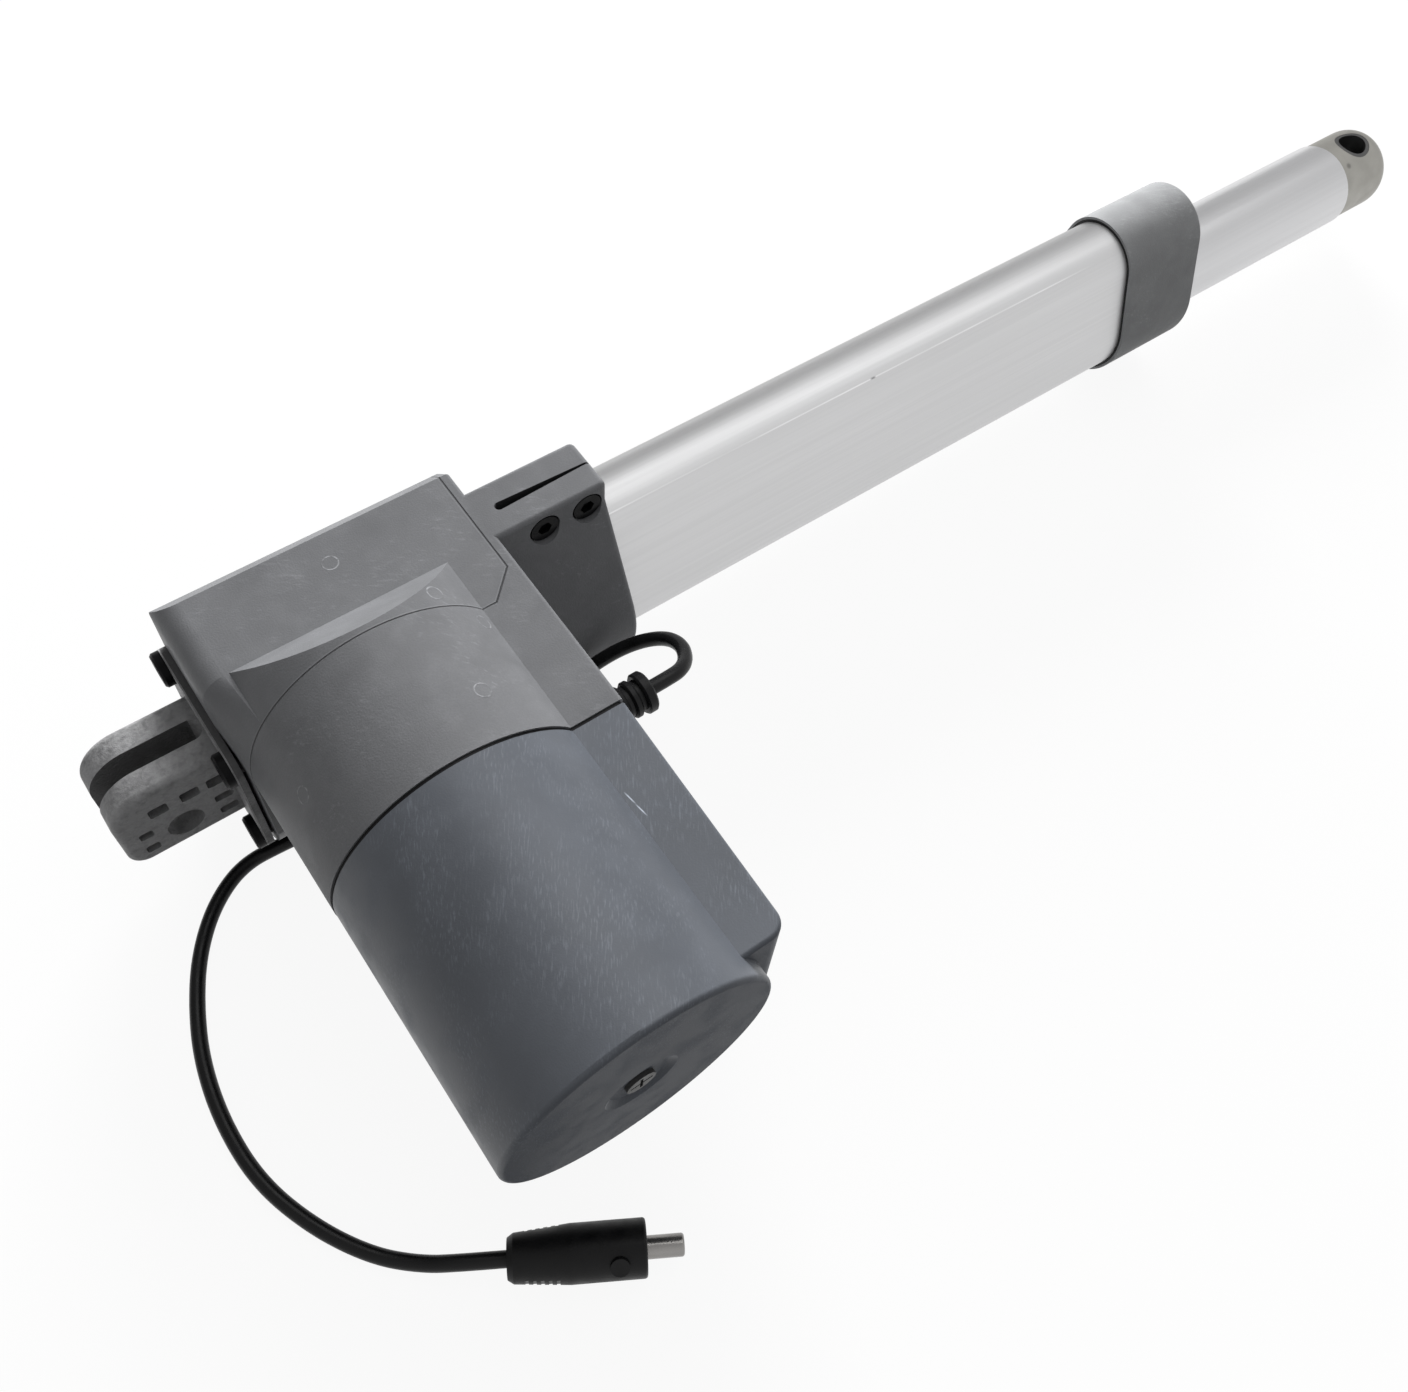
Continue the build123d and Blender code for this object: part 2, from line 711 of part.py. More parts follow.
# Rear fixture: two ears with a slot between them on a screwed plate
ear_end_x = -fork_reach
upper_pocket_xs = (-4.6, 4.1, 11.4)
upper_pocket_z = 11.9
rib_pocket_x = 11.6
rib_pocket_zs = (3.1, -3.5)
heel_pocket_x = -10.2
heel_pocket_zs = (3.5, -3.6)
with BuildPart() as rear_fixture:
    with BuildSketch(Plane.XZ.offset(-fork_half_width)):
        with BuildLine():
            Line((plate_x, fork_top_z), (plate_x, fork_bottom_z))
            Line((plate_x, fork_bottom_z), (ear_end_x + fork_heel_r, fork_bottom_z))
            CenterArc((ear_end_x + fork_heel_r, fork_bottom_z + fork_heel_r), fork_heel_r, 180, 90)
            Line((ear_end_x, fork_bottom_z + fork_heel_r), (ear_end_x, fork_top_z - fork_top_r))
            CenterArc((ear_end_x + fork_top_r, fork_top_z - fork_top_r), fork_top_r, 90, 90)
            Line((ear_end_x + fork_top_r, fork_top_z), (plate_x, fork_top_z))
        make_face()
    extrude(amount=2 * fork_half_width)
    side_rims = rear_fixture.faces().filter_by(Axis.Y).edges().filter_by(
        lambda e: e.center().X < plate_x - 0.1
    )
    fillet(side_rims, fork_edge_fillet)
    with BuildSketch(Plane.YZ.offset(plate_x)):
        with Locations((0, plate_mid_z)):
            RectangleRounded(2 * plate_half_width, 2 * plate_half_height, plate_corner_r)
    extrude(amount=plate_thickness)
    # Slot with a round root that ends at the plate
    slot_root_x = plate_x - fork_slot_half
    slot_length = slot_root_x + fork_slot_half + 2 * fork_reach
    with BuildSketch(Plane.XY.offset(fork_bottom_z - 1)):
        with Locations((slot_root_x + fork_slot_half - slot_length / 2, 0)):
            SlotOverall(slot_length, 2 * fork_slot_half)
    extrude(amount=fork_top_z - fork_bottom_z + 2, mode=Mode.SUBTRACT)
    # Pivot hole across both ears
    with BuildSketch(Plane.XZ.offset(-2 * fork_half_width)):
        Circle(pivot_bore_r)
    extrude(amount=4 * fork_half_width, mode=Mode.SUBTRACT)
    # Weight-saving pockets in the outer faces of both ears
    for side in (-1, 1):
        with BuildSketch(Plane.XZ.offset(-side * fork_half_width)):
            with Locations(*[(x, upper_pocket_z) for x in upper_pocket_xs]):
                RectangleRounded(pocket_wide, pocket_tall, 0.8)
            with Locations(*[(rib_pocket_x, z) for z in rib_pocket_zs]):
                RectangleRounded(pocket_wide, rib_pocket_tall, 0.8)
            with Locations(*[(heel_pocket_x, z) for z in heel_pocket_zs]):
                RectangleRounded(heel_pocket_wide, heel_pocket_tall, 0.8)
        extrude(amount=side * pocket_depth, mode=Mode.SUBTRACT)
    with BuildSketch(Plane.YZ.offset(plate_x)):
        with Locations(*plate_screw_places):
            Circle(plate_screw_r + seat_gap)
    extrude(amount=plate_thickness, mode=Mode.SUBTRACT)
save("rear_fixture", rear_fixture)

# Screws that hold the rear plate: pan heads with a hexagon socket
with BuildPart() as plate_screws:
    with BuildSketch(Plane.YZ.offset(plate_x)):
        with Locations(*plate_screw_places):
            Circle(plate_head_r)
    extrude(amount=-plate_head_height)
    head_rims = plate_screws.edges().filter_by(lambda e: e.center().X < plate_x - plate_head_height + 0.01)
    chamfer(head_rims, plate_head_chamfer)
    with BuildSketch(Plane.YZ.offset(plate_x)):
        with Locations(*plate_screw_places):
            Circle(plate_screw_r)
    extrude(amount=plate_screw_length)
    with BuildSketch(Plane.YZ.offset(plate_x - plate_head_height)):
        with Locations(*plate_screw_places):
            RegularPolygon(hex_key_r, 6)
    extrude(amount=hex_key_depth, mode=Mode.SUBTRACT)
save("plate_screws", plate_screws)

# Clamp screws and their nuts across the neck's slit
with BuildPart() as clamp_screws:
    for clamp_x in clamp_xs:
        with BuildSketch(Plane.XZ.offset(clamp_seat_y)):
            with Locations((clamp_x, clamp_screw_z)):
                Circle(clamp_head_r)
        extrude(amount=neck_half_width - clamp_seat_y)
        with BuildSketch(Plane.XZ.offset(clamp_seat_y)):
            with Locations((clamp_x, clamp_screw_z)):
                Circle(clamp_screw_r)
        extrude(amount=-(clamp_seat_y + neck_half_width))
        with BuildSketch(Plane.XZ.offset(neck_half_width)):
            with Locations((clamp_x, clamp_screw_z)):
                RegularPolygon(hex_key_r, 6)
        extrude(amount=-hex_key_depth, mode=Mode.SUBTRACT)
save("clamp_screws", clamp_screws)

with BuildPart() as clamp_nuts:
    for clamp_x in clamp_xs:
        with BuildSketch(Plane.XZ.offset(-clamp_seat_y)):
            with Locations((clamp_x, clamp_screw_z)):
                RegularPolygon(clamp_nut_r, 6, rotation=30)
                Circle(clamp_screw_r + seat_gap, mode=Mode.SUBTRACT)
        extrude(amount=-(neck_half_width - clamp_seat_y))
save("clamp_nuts", clamp_nuts)

# Outer tube: the pear section extrusion that the rod slides in
with BuildPart() as outer_tube:
    with BuildSketch(Plane.YZ.offset(tube_start_x)):
        pear(0)
    extrude(amount=tube_end_from_pivot - tube_start_x)
    with BuildSketch(Plane.YZ.offset(tube_start_x)):
        pear(-tube_wall)
    extrude(amount=tube_end_from_pivot - tube_start_x, mode=Mode.SUBTRACT)
save("outer_tube", outer_tube)

# End cap over the front of the tube
with BuildPart() as end_cap:
    with BuildSketch(Plane.YZ.offset(cap_start_x)):
        pear(cap_wall)
    extrude(amount=cap_length)
    fillet(end_cap.faces().sort_by(Axis.X)[-1].edges(), cap_edge_fillet)
    with BuildSketch(Plane.YZ.offset(cap_start_x)):
        pear(seat_gap)
    extrude(amount=cap_overlap, mode=Mode.SUBTRACT)
    with BuildSketch(Plane.YZ.offset(cap_start_x)):
        pear(cap_seal_width)
    extrude(amount=cap_seal_width, mode=Mode.SUBTRACT)
    bore_on_rod_axis(guide_r + seat_gap, tube_end_from_pivot, cap_end_x - wiper_length)
    bore_on_rod_axis(wiper_r + seat_gap, cap_end_x - wiper_length, cap_end_x)
save("end_cap", end_cap)

with BuildPart() as cap_seal:
    with BuildSketch(Plane.YZ.offset(cap_start_x)):
        pear(cap_seal_width - seat_gap)
    extrude(amount=cap_seal_width)
    with BuildSketch(Plane.YZ.offset(cap_start_x)):
        pear(seat_gap)
    extrude(amount=cap_seal_width, mode=Mode.SUBTRACT)
save("cap_seal", cap_seal)

with BuildPart() as guide_bush:
    ring_on_rod_axis(guide_r, rod_r + running_gap, tube_end_from_pivot, cap_end_x - wiper_length)
save("guide_bush", guide_bush)

with BuildPart() as rod_wiper:
    ring_on_rod_axis(wiper_r, rod_r + slide_gap, cap_end_x - wiper_length, cap_end_x - 0.5)
save("rod_wiper", rod_wiper)

# Limit switch strip in the lobe of the tube
strip_start_x = nut_x - stroke_in - strip_before_nut
strip_end_x = nut_x + stroke_out + slider_length + strip_past_slider
with BuildPart() as switch_strip:
    with BuildSketch(Plane.YZ.offset(strip_start_x)):
        with Locations((0, strip_z + strip_thickness / 2)):
            Rectangle(2 * strip_half_width, strip_thickness)
    extrude(amount=strip_end_x - strip_start_x)
save("switch_strip", switch_strip)

with BuildPart() as limit_switches:
    for switch_x in (strip_start_x, strip_end_x - switch_length):
        with BuildSketch(Plane.YZ.offset(switch_x)):
            with Locations((0, strip_z - switch_height / 2)):
                Rectangle(2 * switch_half_width, switch_height)
        extrude(amount=switch_length)
save("limit_switches", limit_switches)

# Rod: inner tube, front eye and its bush, nut and slider
with BuildPart() as inner_tube:
    ring_on_rod_axis(rod_r, rod_r - rod_wall, rod_start_x, rod_end_x)
save("inner_tube", inner_tube)

with BuildPart() as rod_eye:
    ring_on_rod_axis(eye_r, 0, rod_end_x, rod_end_x + eye_head_length)
    fillet(rod_eye.faces().sort_by(Axis.X)[-1].edges(), eye_end_fillet)
    ring_on_rod_axis(rod_r - rod_wall - seat_gap, 0, rod_end_x - eye_spigot_length, rod_end_x)
    with BuildSketch(Plane.XY.offset(-2 * eye_r)):
        with Locations((eye_x, 0)):
            Circle(bush_r + seat_gap)
    extrude(amount=4 * eye_r, mode=Mode.SUBTRACT)
save("rod_eye", rod_eye)

with BuildPart() as eye_bush:
    ring_on_rod_axis(eye_r - 0.1, 0, eye_x - bush_r - 1, eye_x + bush_r + 1)
    with BuildSketch(Plane.XY.offset(-2 * eye_r)):
        with Locations((eye_x, 0)):
            Circle(bush_r)
            Circle(pivot_bore_r, mode=Mode.SUBTRACT)
    extrude(amount=4 * eye_r, mode=Mode.INTERSECT)
save("eye_bush", eye_bush)

nut_bore_r = spindle_r + running_gap
with BuildPart() as spindle_nut:
    ring_on_rod_axis(nut_boss_r, nut_bore_r, nut_x, collar_x)
    ring_on_rod_axis(rod_r, nut_bore_r, collar_x, rod_start_x)
    ring_on_rod_axis(rod_r - rod_wall - seat_gap, nut_bore_r, rod_start_x, rod_start_x + nut_length)
save("spindle_nut", spindle_nut)

tube_inner_r = tube_r - tube_wall
with BuildPart() as nut_slider:
    with BuildSketch(Plane.YZ.offset(nut_x)):
        Circle(tube_inner_r - slide_gap)
        with Locations((0, slider_tab_z / 2)):
            Rectangle(2 * slider_tab_half_width, slider_tab_z)
        Circle(nut_boss_r + seat_gap, mode=Mode.SUBTRACT)
    extrude(amount=slider_length)
save("nut_slider", nut_slider)

# Spindle group: screw, worm wheel, races and the guide disc at its free end
with BuildPart() as spindle:
    ring_on_rod_axis(journal_r, 0, rear_race_x, spindle_shoulder_x)
    ring_on_rod_axis(spindle_r, 0, spindle_shoulder_x, spindle_end_x)
    ring_on_rod_axis(journal_r - 1, 0, spindle_end_x, spindle_end_x + end_disc_length)
    chamfer(spindle.faces().sort_by(Axis.X)[-1].edges(), 0.6)
save("spindle", spindle)

# Worm wheel: straight tooth gaps turned to the worm's lead angle
gap_direction = Vector(math.cos(worm_lead_angle), -math.sin(worm_lead_angle), 0)
gap_across = Vector(0, 0, 1).cross(gap_direction)
gap_origin = Vector(motor_x, 0, wheel_pitch_r) - gap_direction * wheel_width
gap_half = worm_lead / 4 + tooth_backlash / 4
gap_head = gear_module + 0.6
with BuildPart() as tooth_gap:
    with BuildSketch(Plane(origin=gap_origin, x_dir=gap_across, z_dir=gap_direction)):
        with BuildLine():
            Polyline(
                (-gap_half - flank_slope * gap_head, gap_head),
                (gap_half + flank_slope * gap_head, gap_head),
                (gap_half - flank_slope * tooth_root_depth, -tooth_root_depth),
                (-gap_half + flank_slope * tooth_root_depth, -tooth_root_depth),
                close=True,
            )
        make_face()
    extrude(amount=2 * wheel_width)

with BuildPart() as worm_wheel:
    rim_start_x = motor_x - wheel_width / 2
    ring_on_rod_axis(wheel_tip_r, journal_r + seat_gap, rim_start_x, rim_start_x + wheel_width)
    for tooth in range(wheel_teeth):
        add(tooth_gap.part.rotate(Axis.X, 360 * tooth / wheel_teeth), mode=Mode.SUBTRACT)
    ring_on_rod_axis(hub_r, journal_r + seat_gap, hub_start_x, front_race_x)
save("worm_wheel", worm_wheel)

for name, race_x in (("rear", rear_race_x), ("front", front_race_x)):
    with BuildPart() as inner_race:
        ring_on_rod_axis(inner_race_r, journal_r + seat_gap, race_x, race_x + bearing_width)
    save(f"{name}_bearing_inner_race", inner_race)
    with BuildPart() as outer_race:
        ring_on_rod_axis(bearing_r, outer_race_inner_r, race_x, race_x + bearing_width)
    save(f"{name}_bearing_outer_race", outer_race)
    with BuildPart() as bearing_cage:
        ring_on_rod_axis(
            outer_race_inner_r - running_gap,
            inner_race_r + running_gap,
            race_x + 1,
            race_x + bearing_width - 1,
        )
    save(f"{name}_bearing_ball_cage", bearing_cage)

with BuildPart() as spindle_end_disc:
    ring_on_rod_axis(
        rod_r - rod_wall - slide_gap,
        journal_r - 1 + seat_gap,
        spindle_end_x,
        spindle_end_x + end_disc_length - 0.5,
    )
save("spindle_end_disc", spindle_end_disc)

# Cable gland: square flange, ribbed strain relief and a thicker end collar
rib_pitch = relief_rib_width + relief_gap
relief_collar_width = 3.0
relief_length = 2 * rib_pitch + relief_gap + relief_collar_width
gland_end_x = front_x + gland_flange + relief_length
with BuildPart() as cable_gland:
    with BuildSketch(Plane.YZ.offset(front_x)):
        with Locations((gland_y, motor_z)):
            RectangleRounded(2 * gland_half, 2 * gland_half, gland_corner_r)
    extrude(amount=gland_flange)
    with BuildSketch(Plane.YZ.offset(front_x)):
        with Locations((gland_y, motor_z)):
            Circle(relief_r)
    extrude(amount=gland_flange + relief_length)
    with BuildSketch(Plane.YZ.offset(front_x)):
        with Locations((gland_y, motor_z)):
            Circle(gland_stem_r)
    extrude(amount=-2 * cover_wall)
    for i in range(2):
        with BuildSketch(Plane.YZ.offset(front_x + gland_flange + relief_gap + i * rib_pitch)):
            with Locations((gland_y, motor_z)):
                Circle(relief_rib_r)
        extrude(amount=relief_rib_width)
    with BuildSketch(Plane.YZ.offset(gland_end_x - relief_collar_width)):
        with Locations((gland_y, motor_z)):
            Circle(relief_collar_r)
    extrude(amount=relief_collar_width)
    rib_rims = cable_gland.edges().filter_by(GeomType.CIRCLE).filter_by(lambda e: e.radius > relief_r + 0.5)
    chamfer(rib_rims, 0.5)
save("cable_gland", cable_gland)

# Cable: straight runs between hand-chosen points, joined by arcs
cable_z = floor_z + cable_r
plug_z = floor_z + plug_front_r
cable_route = [
    (gland_end_x, gland_y, motor_z),
    (122.5, gland_y, motor_z),
    (127.5, -57.0, 26.5),
    (131.8, -53.4, 23.5),
    (134.6, -47.5, 20.3),
    (134.0, -41.0, 16.0),
    (129.5, -35.5, 11.0),
    (122.5, -31.5, 5.5),
    (112.0, -29.0, -1.5),
    (99.0, -27.5, -9.0),
    (84.0, -25.0, -16.5),
    (68.0, -22.5, -22.0),
    (52.0, -20.5, cable_z),
    (36.0, -20.0, cable_z),
    (20.0, -18.5, cable_z),
    (7.0, -18.0, cable_z),
    (-4.5, -24.5, cable_z),
    (-13.8, -34.8, cable_z),
    (-20.6, -47.0, cable_z),
    (-26.3, -62.0, cable_z),
    (-29.0, -79.5, cable_z),
    (-28.2, -98.0, cable_z),
    (-22.3, -115.1, cable_z),
    (-13.7, -129.6, cable_z),
    (-4.5, -138.8, cable_z + 1.5),
    (4.0, -144.8, plug_z),
    (13.0, -150.1, plug_z),
]
corner_radii = []
for before, corner, after in zip(cable_route, cable_route[1:], cable_route[2:]):
    run_in = Vector(*corner) - Vector(*before)
    run_out = Vector(*after) - Vector(*corner)
    half_turn = math.radians(run_in.get_angle(run_out)) / 2
    corner_radii.append(0.45 * min(run_in.length, run_out.length) / math.tan(half_turn))
print("cable radii", [round(radius, 1) for radius in corner_radii])
with BuildPart() as power_cable:
    with BuildLine() as cable_line:
        FilletPolyline(*cable_route, radius=corner_radii)
    first_run = Vector(*cable_route[1]) - Vector(*cable_route[0])
    with BuildSketch(Plane(origin=cable_route[0], z_dir=first_run)):
        Circle(cable_r)
    sweep(path=cable_line.wire())
cable_length = cable_line.wire().length
print("cable length", round(cable_length, 1))
cable_section = math.pi * cable_r**2
print("cable volume over section times length", power_cable.part.volume / (cable_section * cable_length))
save("power_cable", power_cable)

# Plug: moulded grip, metal barrel and a keying nub
last_run = Vector(*cable_route[-1]) - Vector(*cable_route[-2])
plug_side = Vector(0, 0, 1).cross(last_run).normalized()
plug_back = Plane(origin=cable_route[-1], x_dir=plug_side, z_dir=last_run)
plug_front = plug_back.offset(plug_length)
with BuildPart() as plug_body:
    with BuildSketch(plug_back):
        Circle(plug_back_r - 1)
    with BuildSketch(plug_back.offset(1.5)):
        Circle(plug_back_r)
    with BuildSketch(plug_back.offset(plug_length * 0.45)):
        Circle(plug_front_r)
    loft(ruled=True)
    with BuildSketch(plug_back.offset(plug_length * 0.45)):
        Circle(plug_front_r)
    extrude(amount=plug_length * 0.55)
    fillet(plug_body.faces().sort_by(Axis(cable_route[-1], tuple(last_run)))[-1].edges(), 0.8)
    nub_turn = math.radians(plug_nub_turn)
    nub_direction = Vector(0, 0, math.cos(nub_turn)) - plug_side * math.sin(nub_turn)
    nub_origin = plug_back.origin + plug_back.z_dir * plug_length * plug_nub_place
    with BuildSketch(Plane(origin=nub_origin, x_dir=plug_back.z_dir, z_dir=nub_direction)):
        Circle(plug_nub_r)
    extrude(amount=plug_front_r + plug_nub_height)
    for groove in range(plug_groove_count):
        groove_place = plug_groove_start + groove * plug_groove_pitch
        taper_share = groove_place / (plug_length * 0.45)
        grip_r = plug_back_r + (plug_front_r - plug_back_r) * taper_share
        with BuildSketch(plug_back.offset(groove_place)):
            for side in (-1, 1):
                with Locations((side * (2 * grip_r - plug_groove_depth), 0)):
                    Rectangle(2 * grip_r, plug_groove_height)
        extrude(amount=plug_groove_width, mode=Mode.SUBTRACT)
save("plug_body", plug_body)

with BuildPart() as plug_barrel:
    with BuildSketch(plug_front):
        Circle(barrel_r)
    extrude(amount=barrel_length)
    fillet(plug_barrel.faces().sort_by(Axis(cable_route[-1], tuple(last_run)))[-1].edges(), 0.7)
    with BuildSketch(plug_front.offset(barrel_length)):
        Circle(barrel_hole_r)
    extrude(amount=-0.8 * barrel_length, mode=Mode.SUBTRACT)
save("plug_barrel", plug_barrel)
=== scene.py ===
"""Looks of the electric linear actuator: camera, cable, surface finishes and small details.

Metres. +X runs along the rod, +Y points away from the motor, +Z is up.
The origin is the centre of the rear pivot hole.
"""

import bpy
from mathutils import Matrix, Vector


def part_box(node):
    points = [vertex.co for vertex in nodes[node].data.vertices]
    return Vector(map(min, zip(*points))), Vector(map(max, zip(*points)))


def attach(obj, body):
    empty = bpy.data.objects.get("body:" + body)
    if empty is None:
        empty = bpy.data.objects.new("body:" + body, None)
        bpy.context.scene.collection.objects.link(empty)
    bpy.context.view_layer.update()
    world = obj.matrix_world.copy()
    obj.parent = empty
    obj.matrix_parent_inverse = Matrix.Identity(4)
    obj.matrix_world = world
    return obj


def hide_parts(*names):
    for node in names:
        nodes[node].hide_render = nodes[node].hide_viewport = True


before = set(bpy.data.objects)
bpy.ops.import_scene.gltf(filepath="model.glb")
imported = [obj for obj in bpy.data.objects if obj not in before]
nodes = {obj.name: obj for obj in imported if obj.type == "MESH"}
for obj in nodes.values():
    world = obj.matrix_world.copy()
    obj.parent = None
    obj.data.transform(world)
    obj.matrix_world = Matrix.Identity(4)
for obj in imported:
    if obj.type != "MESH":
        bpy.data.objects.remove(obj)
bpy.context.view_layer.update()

# Photograph and camera
photo_width = 1408
focal_pixels = 1403.46
sensor_width = 36.0
camera_place = Vector((0.00098, -0.20914, 0.34786))
camera_right = Vector((0.8113, -0.5795, 0.0639))
camera_down = Vector((-0.4743, -0.7197, -0.5052))

# Floor that the round foot of the gear case and the plug lie on
floor_z = -0.026

# Cable and plug
cable_radius = 0.0021
plug_front_radius = 0.0071
cable_z = floor_z + cable_radius
plug_z = floor_z + plug_front_radius
gland_y = -0.058
motor_z = 0.028
gland_end_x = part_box("cable_gland")[1].x
rod_end_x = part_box("inner_tube")[1].x
cable_route = [
    (gland_end_x, gland_y, motor_z),
    (0.1225, gland_y, motor_z),
    (0.1275, -0.057, 0.0265),
    (0.1318, -0.0534, 0.0235),
    (0.1346, -0.0475, 0.0203),
    (0.134, -0.041, 0.016),
    (0.1295, -0.0355, 0.011),
    (0.1225, -0.0315, 0.0055),
    (0.112, -0.029, -0.0015),
    (0.099, -0.0275, -0.009),
    (0.084, -0.025, -0.0165),
    (0.068, -0.0225, -0.022),
    (0.052, -0.0205, cable_z),
    (0.036, -0.020, cable_z),
    (0.020, -0.0185, cable_z),
    (0.007, -0.018, cable_z),
    (-0.0045, -0.0245, cable_z),
    (-0.0138, -0.0348, cable_z),
    (-0.0206, -0.047, cable_z),
    (-0.0263, -0.062, cable_z),
    (-0.029, -0.0795, cable_z),
    (-0.0282, -0.098, cable_z),
    (-0.0223, -0.1151, cable_z),
    (-0.0137, -0.1296, cable_z),
    (-0.0045, -0.1388, cable_z + 0.0015),
    (0.004, -0.1448, plug_z),
    (0.013, -0.1501, plug_z),
]

# Marks on the surfaces, with the places of painted shade and painted highlights
housing_split_x = 0.0985
collar_joint_y = -0.026
joint_corner = (0.0905, -0.026, 0.05)
neck_start_x = housing_split_x + 0.004
neck_side_reach = 0.0084
ears_start_x = -0.1
ear_side_reach = 0.0105
flat_facing = 0.97
plate_edge_x = 0.0155
dimple_place = (0.4682, -0.007, 0.0126)
dimple_radius = 0.0014
eye_rim_highlight_width = 0.0007
joint_half_width = 0.00028
joint_highlight_offset = 0.0004
joint_highlight_half_width = 0.0003
ejector_radius = 0.0021
ejector_line = 0.00028
ejector_places = [
    (0.0251, -0.0474, 0.0492),
    (0.0764, -0.0212, 0.0594),
    (0.0838, -0.0313, 0.0531),
    (0.0712, -0.053, 0.0623),
    (0.0613, 0.0074, 0.05),
]
seam_place = (0.2328, -0.0076, 0.0338)
seam_side = (0.0, 0.82, 0.58)
seam_half_width = 0.0003
seam_height_reach = 0.01
nick_length = 0.0012
nick_half_width = 0.0004
scratch_places = [(0.0877, -0.0905, 0.0498), (0.0882, -0.0945, 0.0498)]
scratch_direction = (0.15, -1.0, 0.0)
scratch_side = (1.0, 0.15, 0.0)
scratch_length = 0.0022
scratch_half_width = 0.00022
can_shine = 0.35
can_shine_reach = 1.05

# Colours
housing_grey = (0.175, 0.178, 0.186)
can_grey = (0.104, 0.113, 0.129)
cast_grey = (0.28, 0.28, 0.285)
cap_grey = (0.32, 0.325, 0.332)
tube_silver = (0.67, 0.67, 0.675)
rod_silver = (0.69, 0.69, 0.7)
eye_grey = (0.42, 0.41, 0.38)
bush_grey = (0.13, 0.13, 0.13)
bearing_silver = (0.5, 0.5, 0.52)
screw_grey = (0.07, 0.07, 0.07)
steel_black = (0.004, 0.004, 0.0045)
plastic_black = (0.008, 0.008, 0.0085)
plug_black = (0.004, 0.004, 0.0043)
plug_silver = (0.3, 0.29, 0.28)
plastic_white = (0.7, 0.69, 0.65)
bronze_brown = (0.55, 0.38, 0.16)
magnet_grey = (0.04, 0.04, 0.045)
copper_red = (0.62, 0.28, 0.12)
board_green = (0.03, 0.12, 0.05)
jacket_black = (0.009, 0.009, 0.0095)

# Stage and light
floor_reach = 3.0
floor_bounce = 0.35
floor_white = 0.93
floor_white_share = 0.92
world_light = 0.25
world_seen_near = 1.0
world_seen_far = 0.3
world_slope_end = 0.8
lamp_aim = (0.2, -0.02, 0.0)
key_place = (1.25, 1.9, 0.8)
key_size = (1.1, 1.1)
key_power = 104.0
top_place = (0.65, 0.3, 1.3)
top_size = (1.3, 0.9)
top_power = 5.6


def make_camera():
    """Camera at the photograph's place, with its view."""
    data = bpy.data.cameras.new("camera")
    data.sensor_width = sensor_width
    data.lens = focal_pixels / photo_width * sensor_width
    data.clip_start = 0.01
    camera = bpy.data.objects.new("camera", data)
    bpy.context.scene.collection.objects.link(camera)
    right = camera_right.normalized()
    back = right.cross(-camera_down).normalized()
    up = back.cross(right)
    turn = Matrix((right, up, back)).transposed()
    camera.matrix_world = Matrix.Translation(camera_place) @ turn.to_4x4()
    bpy.context.scene.camera = camera


def make_cable():
    """Power cable as one smooth spline through the route, as thick as its points' radius."""
    curve = bpy.data.curves.new("cable", "CURVE")
    curve.dimensions = "3D"
    curve.bevel_depth = 1.0
    curve.bevel_resolution = 6
    curve.use_fill_caps = True
    curve.resolution_u = 10
    spline = curve.splines.new("NURBS")
    spline.points.add(len(cable_route) - 1)
    for point, place in zip(spline.points, cable_route):
        point.co = (*place, 1.0)
        point.radius = cable_radius
    spline.order_u = 3
    spline.use_endpoint_u = True
    cable = bpy.data.objects.new("cable", curve)
    bpy.context.scene.collection.objects.link(cable)
    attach(cable, "root")
    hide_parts("power_cable")
    return cable


